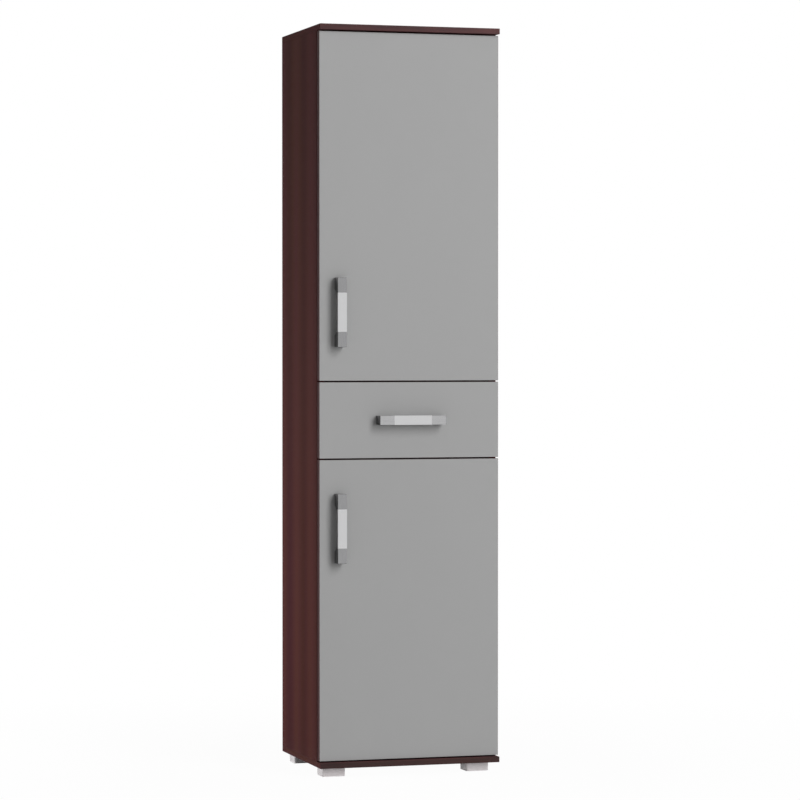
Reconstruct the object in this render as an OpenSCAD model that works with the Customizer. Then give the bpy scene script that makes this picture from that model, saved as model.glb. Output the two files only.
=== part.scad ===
// Tall bathroom cabinet: an upper and a lower hinged door with a drawer between them, on four low feet.
// Millimetres. +X is to the right, +Y to the back, +Z up. The fronts face -Y and the feet stand on z = 0.

/* [Cabinet] */
// Overall width, across the top and bottom boards
body_w = 400; // [360:5:480]
// Depth of the top and bottom boards, without the back panel
board_d = 319; // [310:1:360]
// Overall height above the floor
body_h = 1600; // [1560:5:1700]
// Thickness of the sides and the fixed shelves
side_t = 16; // [16:0.5:18]
// Thickness of the top and bottom boards
board_t = 12; // [12:0.5:18]
// Thickness of the back panel
back_t = 3; // [2.5:0.5:4]
// How far the top and bottom boards stand out past the fronts
lip = 9; // [6:0.5:12]
// How far the back panel stays inside the outline of the boards
back_inset = 1; // [0.5:0.5:3]
// Bevel along the banded edges of the panels
edge_bevel = 0.4; // [0.2:0.1:0.8]

/* [Fronts] */
// Thickness of the doors and the drawer front
door_t = 16; // [16:0.5:18]
// Gap above and below each front
front_gap = 3; // [2:0.5:4]
// Gap between the backs of the fronts and the front edges of the sides
door_gap = 3; // [3:0.25:4]
// How much less than the body each front reaches at either side
reveal = 0.5; // [0.5:0.25:1]
// Height of the drawer front
drawer_front_h = 162; // [158:1:180]
// Height of the upper door
upper_door_h = 740.5; // [700:0.5:760]
// Diameter of the doors' bumpers
bumper_d = 8; // [7:0.5:10]
// Distance from the ends of a door to its bumpers
bumper_end = 20; // [16:1:30]

/* [Shelves] */
// Thickness of the loose shelves
shelf_t = 16; // [12:0.5:18]
// How far the loose shelves stay behind the front edges of the sides
shelf_setback = 20; // [15:1:40]
// Play between a loose shelf and each side
shelf_play = 1; // [0.9:0.1:2]
// Diameter of a shelf pin
pin_d = 5; // [5:0.5:6]
// Length of a shelf pin on each side of its collar
pin_l = 8; // [7:0.5:10]
// Diameter of a shelf pin's collar
pin_collar_d = 7; // [6.5:0.5:8]
// Distance between the holes of a row
hole_pitch = 32; // [32:1:40]
// Distance from the front and back edges of a side to its rows of holes
hole_row = 37; // [32:1:45]

/* [Drawer] */
// Thickness of the drawer box's boards
box_t = 12; // [12:0.5:14]
// Height of the drawer box
box_h = 110; // [90:1:115]
// Depth of the drawer box
box_d = 262; // [256:1:270]
// Thickness of the drawer bottom
bottom_t = 3; // [2.5:0.5:4]
// Depth of the groove that holds the drawer bottom
groove_d = 6; // [5:0.5:7]
// Height of that groove above the lower edge of the box
groove_z = 10; // [8:1:14]

/* [Runners] */
// Length of a runner
runner_l = 250; // [240:1:252]
// Space that a runner takes beside the drawer box
runner_space = 12.5; // [12.5:0.25:13.5]
// Height of the runners above the lower fixed shelf
runner_lift = 6; // [4:0.5:10]
// Thickness of the runner's steel
sheet_t = 1; // [0.9:0.1:1.2]
// Width of the channel's flanges
flange_w = 9.5; // [9.5:0.25:9.75]
// Diameter of a roller
roller_d = 20; // [18:0.5:22]
// Width of a roller
roller_w = 5.5; // [5:0.5:6]
// Diameter of a roller's axle
axle_d = 4; // [3.5:0.5:5]
// Distance from the end of a runner to its roller's axle
roller_end = 13; // [12:0.5:16]
// Distance from the front end of a channel to its first screw
chan_screw_y = 35; // [32:1:38]
// Distance from the front end of a rail to its first screw
rail_screw_y = 40; // [36:1:44]
// Distance between the screws of a rail
rail_screw_pitch = 80; // [76:1:84]
// Height of those screws above the lower edge of the drawer box
rail_screw_up = 6; // [5.5:0.5:7]

/* [Hinges] */
// Distance from the end of a door to its hinges
hinge_end = 100; // [90:1:120]
// Diameter of a hinge cup
cup_d = 35; // [35:0.5:36]
// Depth of a hinge cup in the door
cup_depth = 12.6; // [12.4:0.1:12.8]
// Wall of a hinge cup
cup_wall = 0.8; // [0.7:0.05:0.9]
// Distance from the edge of the door to the cup
cup_edge = 3; // [2.8:0.1:3.2]
// Thickness of the cup's flange
cup_flange_t = 1; // [0.8:0.1:1.2]
// Distance between the two screws of a cup
cup_screw_span = 48; // [46:1:52]
// Diameter of a hinge pin
hinge_pin_d = 2; // [1.8:0.1:2.2]
// Outer radius of the arm's eye round the pin
eye_r = 1.8; // [1.7:0.05:1.9]
// Depth of the hinge pin below the back of the door
pin_depth = 7; // [6.8:0.1:7.4]
// Thickness of the arm's curved neck
neck_t = 2.6; // [2.2:0.1:2.8]
// Width of the neck
neck_w = 8; // [7:0.5:8]
// Length of a hinge arm inside the cabinet
arm_l = 54; // [52:1:60]
// Width of a hinge arm
arm_w = 16; // [15:0.5:18]
// Height of a hinge arm above the side
arm_h = 12; // [11:0.5:14]
// Wall of a hinge arm
arm_wall = 1.5; // [1.2:0.1:1.8]
// Height of a mounting plate along the side
plate_h = 48; // [46:1:56]
// Width of a mounting plate
plate_w = 20; // [18:1:22]
// Diameter of the screws that adjust a hinge arm
adjust_d = 4; // [3.5:0.5:4.5]

/* [Handles] */
// Length of a handle
handle_l = 147.5; // [144:0.5:160]
// Distance between its screws
handle_holes = 128; // [124:1:130]
// Width of its two ends
handle_w = 19.2; // [17:0.2:22]
// How far it stands out from the front
handle_out = 28; // [25:0.5:32]
// Length of each end beside the grip plate
handle_end_l = 32.2; // [28:0.2:36]
// Length of each foot on the door
handle_foot_l = 25; // [20:0.5:28]
// Length of the arch from a foot to the bar
handle_sweep = 29; // [24:0.5:32]
// Depth of the bar in the middle
bar_d = 12; // [11:0.5:14]
// Bevel at the outer ends
handle_edge = 0.8; // [0.4:0.1:1.2]
// Depth of the grip plate's sides
grip_d = 9; // [7:0.5:9.5]
// Wall of the grip plate
grip_wall = 0.9; // [0.7:0.1:1.2]
// How far the grip plate stands out past the ends, at its sides
grip_proud = 0.3; // [0.2:0.1:0.6]
// Distance from the side of a door to the middle of its handle
handle_side = 43; // [38:1:60]
// Distance from the end of a door to the near end of its handle
handle_end = 71.5; // [50:0.5:120]

/* [Feet] */
// Height of a foot
foot_h = 21.5; // [18:0.5:30]
// Width of a foot
foot_w = 50; // [44:1:56]
// Depth of a foot
foot_d = 45; // [40:1:50]
// Distance from the side of the cabinet to a foot
foot_side = 14; // [12:1:24]
// Distance from the front edge of the bottom board to a front foot
foot_front = 34; // [30:1:50]
// Distance from the back edge of the bottom board to a rear foot
foot_back = 8; // [6:1:16]
// Wall of a foot
foot_wall = 2.4; // [2:0.1:3]
// Thickness of its sole
foot_floor = 3; // [2.5:0.5:4]

/* [Fasteners] */
// Shank diameter of the wood screws
screw_d = 3.5; // [3:0.5:4]
// Length of the wood screws in the wood
screw_l = 11; // [9:0.5:12]
// Shank diameter of the assembly screws
joint_screw_d = 5; // [4.5:0.5:6]
// Length of the assembly screws
joint_screw_l = 50; // [45:1:55]
// Distance from the front and back edges of a side to its assembly screws
joint_row = 45; // [42:1:48]
// Diameter of a cam lock
cam_d = 15; // [14:0.5:16]
// Distance from the end of a shelf to its cam locks
cam_in = 24; // [22:1:34]
// Height of a cam lock
cam_h = 12.5; // [12:0.25:13]
// Distance from the front and back edges of a side to its cam bolts
cam_row = 60; // [56:1:70]
// Diameter of a cam bolt
cam_bolt_d = 6; // [5.5:0.5:6.5]
// Length of a cam bolt in the side
cam_bolt_in = 9; // [8:0.5:10]
// Diameter of a dowel
dowel_d = 8; // [7:0.5:8]
// Length of a dowel
dowel_l = 30; // [26:1:30]
// Distance from the front and back edges of a side to its dowels
dowel_row = 28; // [24:1:32]
// Diameter of a handle screw
handle_screw_d = 4; // [3.5:0.5:4.5]
// Length of a handle screw in the handle
handle_screw_in = 9; // [8:0.5:11]
// Length of the screws between the drawer box's boards, in their ends
box_screw_l = 22; // [20:1:26]
// Distance from the edges of the drawer box to those screws
box_screw_edge = 25; // [22:1:28]
// Length of the drawer front's screws in the front
front_screw_l = 12; // [10:0.5:13]
// Distance from the inside of the drawer box to those screws
front_screw_in = 40; // [36:1:50]
// Length of a rail's screws in the drawer box
rail_screw_l = 9; // [8:0.5:10]
// Diameter of a back panel nail
nail_d = 1.4; // [1.2:0.1:1.8]
// Length of a back panel nail
nail_l = 15; // [12:1:18]
// Distance from the ends of a side to its last nails
nail_end = 60; // [50:1:80]

/* [Hidden] */
$fn = 48;
fit = 0.05;
rest_gap = 0.2;
steel = [0.72, 0.73, 0.74];
wood = [0.27, 0.17, 0.17];
grey = [0.62, 0.62, 0.62];
chrome = [0.66, 0.66, 0.67];
silver = [0.80, 0.80, 0.80];
white = [0.88, 0.88, 0.86];
beech = [0.78, 0.62, 0.42];
plastic = [0.67, 0.66, 0.66];

total_d = board_d + back_t + handle_out - lip;
y_rear = total_d / 2;
y_back = y_rear - back_t;
y_board = y_back - board_d;
y_face = y_board + lip;
y_door = y_face + door_t;
y_side = y_door + door_gap;
x_out = body_w / 2;
x_in = x_out - side_t;
x_front = x_out - reveal;

z_under = foot_h;
z_floor = foot_h + board_t;
z_ceil = body_h - board_t;
z_up1 = z_ceil - front_gap;
z_up0 = z_up1 - upper_door_h;
z_dr1 = z_up0 - front_gap;
z_dr0 = z_dr1 - drawer_front_h;
z_lo1 = z_dr0 - front_gap;
z_lo0 = z_floor + front_gap;
z_fix_up = z_up0 - front_gap / 2;
z_fix_lo = z_dr0 - front_gap / 2;
FIXED = [z_fix_lo, z_fix_up];
up_floor = z_fix_up + side_t / 2;
up_space = z_ceil - up_floor;
lo_space = z_fix_lo - side_t / 2 - z_floor;
// Undersides of the three loose shelves
z_shelf_low = z_floor + lo_space / 2;
z_shelf_mid = up_floor + up_space / 3;
z_shelf_top = up_floor + 2 * up_space / 3;
LOOSE = [z_shelf_low, z_shelf_mid, z_shelf_top];
pin_rows = [y_side + hole_row, y_back - hole_row];
collar_t = shelf_play - rest_gap;
bumper_t = door_gap - rest_gap;

box_x = x_in - runner_space;
z_chan = z_fix_lo + side_t / 2 + runner_lift;
box_z = z_chan + 2 * sheet_t;
box_top = box_z + box_h;
box_y1 = y_door + box_d;
bottom_z = box_z + groove_z;
bottom_play = 0.1;
// Heights in a runner, from the channel's lower edge up
run_z = sheet_t + rest_gap + roller_d / 2;
run_flange = run_z + roller_d / 2 + 0.3;
chan_head = 1.4;
chan_h = run_flange + sheet_t + chan_head + sheet_t;
chan_y0 = y_side + 2;
rail_y0 = y_door + sheet_t;
rail_web = runner_space - sheet_t;
roller_u = sheet_t + 2.2;
roller_play = 0.2;
near_roller_y = chan_y0 + roller_end;
far_roller_y = rail_y0 + runner_l - roller_end;
rail_screw_z = box_z + rail_screw_up;

cup_x = x_front - cup_edge - cup_d / 2;
// The pin stands as near the edge as the eye's width allows inside the round cup
pin_x = cup_x + sqrt(pow(cup_d / 2 - cup_wall, 2) - pow(neck_w / 2, 2)) - eye_r - rest_gap;
pin_y = y_door - pin_depth;
hinge_side = pin_x - x_in;
leg_gap = 2.95;
leg_x = hinge_side + leg_gap + neck_t / 2;
neck_sag = cup_depth - cup_wall - pin_depth - neck_t / 2 - 0.3;
neck_r = leg_x + neck_sag - sqrt(2 * leg_x * neck_sag);
plate_t = 1.5;
plate_y = y_side + hole_row;
lug_z = neck_w / 2 + rest_gap;
// Half length of the pin, which ends inside the cup's wall
pin_half = sqrt(pow(cup_d / 2 - fit, 2) - pow(pin_x + hinge_pin_d / 2 - cup_x, 2)) - 0.3;
// The arm and the plate's rib, counted from the pin: x into the cabinet, y to the front
arm_x0 = hinge_side + plate_t + rest_gap;
arm_x1 = hinge_side + arm_h;
arm_set = 2;
arm_front = -(pin_depth + door_gap + arm_set);
rib_front = arm_front - arm_wall - arm_set;
rib_back = arm_front - arm_l + arm_set;
rib_top = arm_x1 - arm_wall - rest_gap;
ADJUST = [rib_front - 2 * adjust_d, rib_back + 2 * adjust_d];
adjust_in = 5.5;
UPPER_HINGES = [z_up0 + hinge_end, z_up1 - hinge_end];
LOWER_HINGES = [z_lo0 + hinge_end, z_lo1 - hinge_end];
HINGES = concat(LOWER_HINGES, UPPER_HINGES);
cup_screw_x = 6;
plate_screw_z = 16;

handle_x = -x_front + handle_side;
z_up_handle = z_up0 + handle_end + handle_l / 2;
z_lo_handle = z_lo1 - handle_end - handle_l / 2;
z_dr_handle = (z_dr0 + z_dr1) / 2;

foot_x = x_out - foot_side - foot_w / 2;
foot_y0 = y_board + foot_front + foot_d / 2;
foot_y1 = y_back - foot_back - foot_d / 2;
FEET = [for (x = [-foot_x, foot_x], y = [foot_y0, foot_y1]) [x, y]];
foot_boss_d = 12;
foot_screw_head = 6;
joint_ys = [y_side + joint_row, y_back - joint_row];
joint_head_d = 2 * joint_screw_d;
joint_head_t = joint_screw_d / 2;
cam_ys = [y_side + cam_row, y_back - cam_row];
dowel_ys = [y_side + dowel_row, y_back - dowel_row];
dowel_side = dowel_l / 2 - 4;
chan_screw_ys = [for (k = [0, 3, 5]) chan_y0 + chan_screw_y + k * hole_pitch];
rail_screw_ys = [for (k = [0:2]) rail_y0 + rail_screw_y + k * rail_screw_pitch];
box_screw_ys = [y_door + box_t / 2, box_y1 - box_t / 2];
box_screw_zs = [box_z + box_screw_edge, box_top - box_screw_edge];
// Screw places of the drawer front, as [x, z]
FRONT_SCREWS = [for (s = [-1, 1], z = box_screw_zs) [s * (box_x - box_t - front_screw_in), z]];
nail_xs = [-x_in / 2, 0, x_in / 2];
nail_count = 10;
nail_head_t = 0.8;
nail_step = (z_ceil - z_floor - 2 * nail_end) / (nail_count - 1);
side_nail_zs = [for (i = [0:nail_count - 1]) z_floor + nail_end + i * nail_step];
end_nail_zs = [z_under + board_t / 2, body_h - board_t / 2, z_fix_lo, z_fix_up];
NAILS = concat([for (s = [-1, 1], z = side_nail_zs) [s * (x_in + side_t / 2), z]],
    [for (x = nail_xs, z = end_nail_zs) [x, z]]);

// Shared shapes

// Box between two corners
module block(lo, hi) {
    translate(lo) cube(hi - lo);
}

// Rectangle with bevelled corners, from the origin
module bevelled(a, b) {
    e = edge_bevel;
    polygon([[e, 0], [a - e, 0], [a, e], [a, b - e], [a - e, b], [e, b], [0, b - e], [0, e]]);
}

// Board between two corners, with all its edges bevelled
module board(lo, hi) {
    s = hi - lo;
    translate(lo) intersection() {
        linear_extrude(s[2]) bevelled(s[0], s[1]);
        translate([0, s[1], 0]) rotate([90, 0, 0]) linear_extrude(s[1]) bevelled(s[0], s[2]);
        rotate([90, 0, 90]) linear_extrude(s[0]) bevelled(s[1], s[2]);
    }
}

// Rectangle with round corners, about the origin
module rounded(a, b, r) {
    square([a - 2 * r, b], center = true);
    square([a, b - 2 * r], center = true);
    for (x = [-1, 1], y = [-1, 1]) translate([x * (a / 2 - r), y * (b / 2 - r)]) circle(r);
}

// Turn children that point along +Z towards +X, -X, +Y or -Y
module to_right() { rotate([0, 90, 0]) children(); }
module to_left() { rotate([0, -90, 0]) children(); }
module to_back() { rotate([-90, 0, 0]) children(); }
module to_front() { rotate([90, 0, 0]) children(); }

// Children made for the right-hand side, on side s: 1 is right and -1 is left
module on_side(s) {
    if (s > 0) children();
    else mirror([1, 0, 0]) children();
}

// Round hole along +Z, a fit wider than what goes in it, that starts a little before z = 0
module hole(d, l) {
    translate([0, 0, -1]) cylinder(d = d + 2 * fit, h = l + 1);
}

// Hole in the right-hand side's inner face
module side_hole(y, z, d, l) {
    translate([x_in, y, z]) to_right() hole(d, l + 0.5);
}

// Wood screw along +Z from z = 0, with a countersunk head above a plate of thickness t
module wood_screw(d, l, t) {
    tip = d;
    cylinder(d = d, h = t + l - tip);
    translate([0, 0, t + l - tip]) cylinder(d1 = d, d2 = d / 4, h = tip);
    difference() {
        translate([0, 0, -d / 3]) cylinder(d = 2 * d, h = d / 3);
        cross_recess(d, -d / 3);
    }
}

// Cross recess in a screw head whose outer face is at z0
module cross_recess(d, z0) {
    for (a = [0, 90]) rotate(a) translate([-d / 2, -d / 10, z0 - 1]) cube([d, d / 5, 1 + d / 6]);
}

// Carcass

// Dowel and cam bolt holes in the end face of a fixed shelf
module shelf_end_holes(s, z) {
    on_side(s) {
        for (y = dowel_ys) translate([x_in, y, z]) to_left() hole(dowel_d, dowel_l / 2 + 1);
        for (y = cam_ys) translate([x_in, y, z]) to_left() hole(cam_bolt_d + 1, cam_in);
    }
}

module fixed_shelf(z) {
    difference() {
        board([-x_in, y_side, z - side_t / 2], [x_in, y_back, z + side_t / 2]);
        for (s = [-1, 1]) {
            shelf_end_holes(s, z);
            for (y = cam_ys) translate([s * (x_in - cam_in), y, z - side_t / 2])
                hole(cam_d, cam_h + rest_gap);
        }
        nails_at([for (x = nail_xs) [x, z]], nail_d + 2 * fit);
    }
}

// The cam round the bolt's end: a short drum with a slot for the bolt
module cam_lock() {
    difference() {
        cylinder(d = cam_d, h = cam_h);
        translate([0, -cam_bolt_d / 2 - 0.5, side_t / 2 - cam_bolt_d / 2 - 0.5])
            cube([cam_d, cam_bolt_d + 1, cam_bolt_d + 1]);
        cross_recess(5, 0.7);
    }
}

// Bolt along +X from inside the side panel to the cam
module cam_bolt() {
    to_left() {
        translate([0, 0, -cam_bolt_in]) cylinder(d = cam_bolt_d - 1, h = cam_bolt_in);
        cylinder(d = cam_bolt_d, h = cam_bolt_d / 4);
        cylinder(d = cam_bolt_d - 2, h = cam_in - 1);
        translate([0, 0, cam_in - 3]) cylinder(d = cam_bolt_d, h = 2);
    }
}

module side_panel(hinged) {
    difference() {
        board([x_in, y_side, z_floor], [x_out, y_back, z_ceil]);
        for (z = LOOSE, k = [-1, 0, 1], y = pin_rows)
            side_hole(y, z - pin_d / 2 + k * hole_pitch, pin_d, pin_l);
        for (z = FIXED) {
            for (y = dowel_ys) side_hole(y, z, dowel_d, dowel_side + 0.5);
            for (y = cam_ys) side_hole(y, z, cam_bolt_d - 1, cam_bolt_in);
        }
        for (y = chan_screw_ys) side_hole(y, z_chan + chan_h / 2, screw_d, screw_l);
        for (y = joint_ys) {
            translate([x_in + side_t / 2, y, z_floor]) hole(joint_screw_d, joint_screw_l - board_t + 1);
            translate([x_in + side_t / 2, y, z_ceil]) mirror([0, 0, 1])
                hole(joint_screw_d, joint_screw_l - board_t + 1);
        }
        nails_at([for (z = side_nail_zs) [x_in + side_t / 2, z]], nail_d + 2 * fit);
        if (hinged) for (z = HINGES, k = [-1, 1])
            side_hole(plate_y, z + k * plate_screw_z, screw_d, screw_l);
    }
}

module left_side() { color(wood) mirror([1, 0, 0]) side_panel(false); }
module right_side() { color(wood) side_panel(true); }

// Top or bottom board: the assembly screws are sunk into its outer face
module end_board(z0, z1, outer) {
    difference() {
        board([-x_out, y_board, z0], [x_out, y_back, z1]);
        for (s = [-1, 1], y = joint_ys) translate([s * (x_in + side_t / 2), y, 0]) {
            translate([0, 0, z0 - 1]) cylinder(d = joint_screw_d + 2 * fit, h = board_t + 2);
            sink = joint_head_t + 0.3;
            translate([0, 0, outer > 0 ? z1 - sink : z0 - 1])
                cylinder(d = joint_head_d + 0.4, h = sink + 1);
        }
        nails_at([for (x = nail_xs) [x, (z0 + z1) / 2]], nail_d + 2 * fit);
        if (outer < 0) for (p = FEET) translate([p[0], p[1], z0]) hole(screw_d, board_t - 3);
    }
}

module top_board() { color(wood) end_board(z_ceil, body_h, 1); }
module bottom_board() { color(wood) end_board(z_under, z_floor, -1); }

// Countersunk assembly screws through the boards into the ends of the sides
module joint_screw() {
    tip = 0.6 * joint_screw_d;
    difference() {
        union() {
            cylinder(d = joint_head_d, h = joint_head_t);
            cylinder(d = joint_screw_d, h = joint_screw_l - tip);
            translate([0, 0, joint_screw_l - tip]) cylinder(d1 = joint_screw_d, d2 = 2, h = tip);
        }
        translate([0, 0, -1]) cylinder(d = 0.8 * joint_screw_d, h = 1 + 0.7 * joint_head_t, $fn = 6);
    }
}

module assembly_screws() {
    color(steel) for (s = [-1, 1], y = joint_ys) {
        translate([s * (x_in + side_t / 2), y, z_under + 0.3]) joint_screw();
        translate([s * (x_in + side_t / 2), y, body_h - 0.3]) mirror([0, 0, 1]) joint_screw();
    }
}

// Nail shanks at a list of [x, z] places, from the back
module nails_at(places, d) {
    for (p = places) translate([p[0], y_rear + nail_head_t, p[1]]) to_front()
        cylinder(d = d, h = nail_l + nail_head_t + (d > nail_d ? 0.5 : 0), $fn = 16);
}

module back_panel() {
    color(wood) difference() {
        block([-x_out + back_inset, y_back, z_under + back_inset],
            [x_out - back_inset, y_rear, body_h - back_inset]);
        nails_at(NAILS, nail_d + 2 * fit);
        for (p = NAILS) translate([p[0], y_rear - nail_head_t, p[1]]) to_back()
            cylinder(d = 3 * nail_d + 0.2, h = 2, $fn = 16);
    }
}

module back_nails() {
    color(steel) for (p = NAILS) translate([p[0], y_rear, p[1]]) to_front() {
        cylinder(d = 3 * nail_d, h = nail_head_t, $fn = 16);
        cylinder(d = nail_d, h = nail_l, $fn = 16);
    }
}

module upper_fixed_shelf() { color(wood) fixed_shelf(z_fix_up); }
module lower_fixed_shelf() { color(wood) fixed_shelf(z_fix_lo); }

module cam_locks() {
    color(steel) for (z = FIXED, s = [-1, 1], y = cam_ys)
        on_side(s) translate([x_in - cam_in, y, z - side_t / 2]) cam_lock();
}

module cam_bolts() {
    color(steel) for (z = FIXED, s = [-1, 1], y = cam_ys) on_side(s) translate([x_in, y, z]) cam_bolt();
}

module dowels() {
    color(beech) for (z = FIXED, s = [-1, 1], y = dowel_ys)
        on_side(s) translate([x_in - dowel_l / 2, y, z]) to_right()
            cylinder(d = dowel_d, h = dowel_l / 2 + dowel_side);
}

// Loose shelves on their pins

module loose_shelf(z) {
    color(wood) board([-x_in + shelf_play, y_side + shelf_setback, z],
        [x_in - shelf_play, y_back - 1, z + shelf_t]);
}

module upper_shelf_high() { loose_shelf(z_shelf_top); }
module upper_shelf_low() { loose_shelf(z_shelf_mid); }
module lower_shelf() { loose_shelf(z_shelf_low); }

module shelf_pin() {
    to_left() {
        translate([0, 0, -pin_l]) cylinder(d = pin_d, h = 2 * pin_l);
        cylinder(d = pin_collar_d, h = collar_t);
    }
}

module shelf_pins() {
    color(steel) for (s = [-1, 1], z = LOOSE, y = pin_rows)
        on_side(s) translate([x_in, y, z - pin_d / 2]) shelf_pin();
}

// Feet

// Hollow moulded foot, open towards the board, with a boss for its screw and four ribs
module foot(x, y) {
    color(plastic) translate([x, y, 0]) difference() {
        union() {
            difference() {
                linear_extrude(foot_h) rounded(foot_w, foot_d, 3);
                translate([0, 0, foot_floor]) linear_extrude(foot_h)
                    rounded(foot_w - 2 * foot_wall, foot_d - 2 * foot_wall, 1);
            }
            cylinder(d = foot_boss_d, h = foot_h);
            for (a = [0, 90]) rotate(a) translate([0, 0, foot_h / 2])
                cube([(a == 0 ? foot_w : foot_d) - foot_wall, foot_wall / 1.5, foot_h - 1], center = true);
        }
        translate([0, 0, -1]) cylinder(d = screw_d + 0.4, h = foot_h + 2);
        translate([0, 0, -1]) cylinder(d = 2 * screw_d + 0.6, h = foot_h - foot_screw_head + 1);
    }
}

module front_left_foot() { foot(-foot_x, foot_y0); }
module front_right_foot() { foot(foot_x, foot_y0); }
module rear_left_foot() { foot(-foot_x, foot_y1); }
module rear_right_foot() { foot(foot_x, foot_y1); }

module foot_screws() {
    color(steel) for (p = FEET) translate([p[0], p[1], foot_h - foot_screw_head])
        wood_screw(screw_d, board_t - 4, foot_screw_head);
}

// Hinges: a cup in the door, and a cranked arm on a plate on the right-hand side.
// The door turns on one pin that crosses the cup and the eye at the end of the arm's curved neck.

// Plan of the neck with the pin at the origin: +x runs into the cabinet and +y to the front
module neck_plan() {
    cx = leg_x - neck_r;
    cy = neck_sag - neck_r;
    difference() {
        translate([cx, cy]) circle(neck_r + neck_t / 2);
        translate([cx, cy]) circle(neck_r - neck_t / 2);
        translate([-leg_x, cy - 2 * leg_x]) square([leg_x + cx, 2 * leg_x]);
        polygon([[cx, cy], [-2 * cx, -2 * cy], [-2 * cx, 2 * cy - leg_x], [cx, cy - 2 * leg_x]]);
        translate([cx, cy - 2 * leg_x]) square([2 * leg_x, 2 * leg_x]);
    }
    translate([leg_x - neck_t / 2, arm_front - arm_wall])
        square([neck_t, cy - arm_front + arm_wall + rest_gap]);
    circle(eye_r);
}

// Put a plan in the pin's own axes at height z on the right-hand side
module at_pin(z) {
    translate([pin_x, pin_y, z]) rotate(180) children();
}

module hinge_arm() {
    difference() {
        union() {
            translate([0, 0, -neck_w / 2]) linear_extrude(neck_w) neck_plan();
            arm_channel();
        }
        translate([0, 0, -neck_w]) cylinder(d = hinge_pin_d + 2 * fit, h = 2 * neck_w);
    }
}

// Pressed channel that sits over the plate's rib
module arm_channel() {
    difference() {
        block([arm_x0, arm_front - arm_l, -arm_w / 2], [arm_x1, arm_front, arm_w / 2]);
        block([arm_x0 - 1, arm_front - arm_l - 1, -arm_w / 2 + arm_wall],
            [arm_x1 - arm_wall, arm_front - arm_wall, arm_w / 2 - arm_wall]);
        for (y = ADJUST) translate([arm_x1 - arm_wall - 1, y, 0]) to_right()
            cylinder(d = adjust_d + 2 * fit, h = arm_wall + 2);
    }
}

module hinge_arms() { color(steel) for (z = HINGES) at_pin(z) hinge_arm(); }

// Mounting plate: a flat base with round ends for two screws, and a rib that carries the arm
module hinge_plate() {
    pad = plate_h - plate_w;
    mid = -(pin_depth + door_gap + hole_row);
    difference() {
        union() {
            translate([hinge_side, mid, 0]) rotate([0, 90, 0])
                linear_extrude(plate_t) {
                    square([pad, plate_w], center = true);
                    for (k = [-1, 1]) translate([k * pad / 2, 0]) circle(d = plate_w);
                }
            block([hinge_side, rib_back, -arm_w / 2 + arm_wall + rest_gap],
                [rib_top, rib_front, arm_w / 2 - arm_wall - rest_gap]);
        }
        for (k = [-1, 1]) translate([hinge_side - 1, mid, k * plate_screw_z]) to_right()
            cylinder(d = screw_d + 2 * fit, h = plate_t + 2);
        for (y = ADJUST) translate([rib_top + 1, y, 0]) to_left()
            cylinder(d = adjust_d - 1 + 2 * fit, h = adjust_in + 1.5);
    }
}

module hinge_plates() { color(steel) for (z = HINGES) at_pin(z) hinge_plate(); }

module hinge_plate_screws() {
    color(steel) for (z = HINGES, k = [-1, 1])
        translate([x_in - plate_t, plate_y, z + k * plate_screw_z]) to_right()
            wood_screw(screw_d, screw_l, plate_t);
}

// Two screws that hold the arm on its plate and set the overlay
module adjuster() {
    head_h = 0.3 * adjust_d;
    difference() {
        union() {
            cylinder(d = 1.8 * adjust_d, h = head_h);
            translate([0, 0, -arm_wall]) cylinder(d = adjust_d, h = arm_wall);
            translate([0, 0, -arm_wall - adjust_in]) cylinder(d = adjust_d - 1, h = adjust_in);
        }
        translate([0, 0, head_h]) mirror([0, 0, 1]) cross_recess(adjust_d, 0);
    }
}

module hinge_adjusters() {
    color(steel) for (z = HINGES, y = ADJUST) at_pin(z) translate([arm_x1, y, 0]) to_right() adjuster();
}

// Cup along -Y from the back of the door, with its flange and the two lugs that hold the pin
module hinge_cup() {
    r = cup_d / 2 - fit;
    dx = pin_x - cup_x;
    lug_l = sqrt(pow(r, 2) - pow(dx, 2)) - lug_z;
    difference() {
        union() {
            difference() {
                union() {
                    to_front() cylinder(r = r, h = cup_depth);
                    to_back() linear_extrude(cup_flange_t) cup_flange();
                }
                translate([0, cup_flange_t + 1, 0]) to_front()
                    cylinder(r = cup_d / 2 - cup_wall, h = cup_depth - cup_wall + cup_flange_t + 1);
            }
            intersection() {
                translate([0, 0.5, 0]) to_front() cylinder(r = r, h = cup_depth - 0.5);
                for (s = [-1, 1]) translate([dx, -pin_depth, s * (lug_z + lug_l / 2)])
                    cube([2 * eye_r, 2 * eye_r + 1, lug_l], center = true);
            }
        }
        translate([dx, -pin_depth, -cup_d]) cylinder(d = hinge_pin_d + 2 * fit, h = 2 * cup_d);
        for (s = [-1, 1]) translate([-cup_screw_x, 2, s * cup_screw_span / 2]) to_front()
            cylinder(d = screw_d + 2 * fit, h = 4);
    }
}

// Flange seen from behind: a ring with a bar that ends in two round ears
module cup_flange() {
    circle(cup_d / 2 + 1);
    translate([-cup_screw_x, 0]) {
        square([12, cup_screw_span], center = true);
        for (s = [-1, 1]) translate([0, s * cup_screw_span / 2]) circle(6);
    }
}

module cups(heights) { color(steel) for (z = heights) translate([cup_x, y_door, z]) hinge_cup(); }

module cup_screws(heights) {
    color(steel) for (z = heights, s = [-1, 1])
        translate([cup_x - cup_screw_x, y_door + cup_flange_t, z + s * cup_screw_span / 2]) to_front()
            wood_screw(screw_d, screw_l - 1, cup_flange_t);
}

module hinge_pins(heights) {
    color(steel) for (z = heights) translate([pin_x, pin_y, z - pin_half])
        cylinder(d = hinge_pin_d, h = 2 * pin_half);
}

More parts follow.
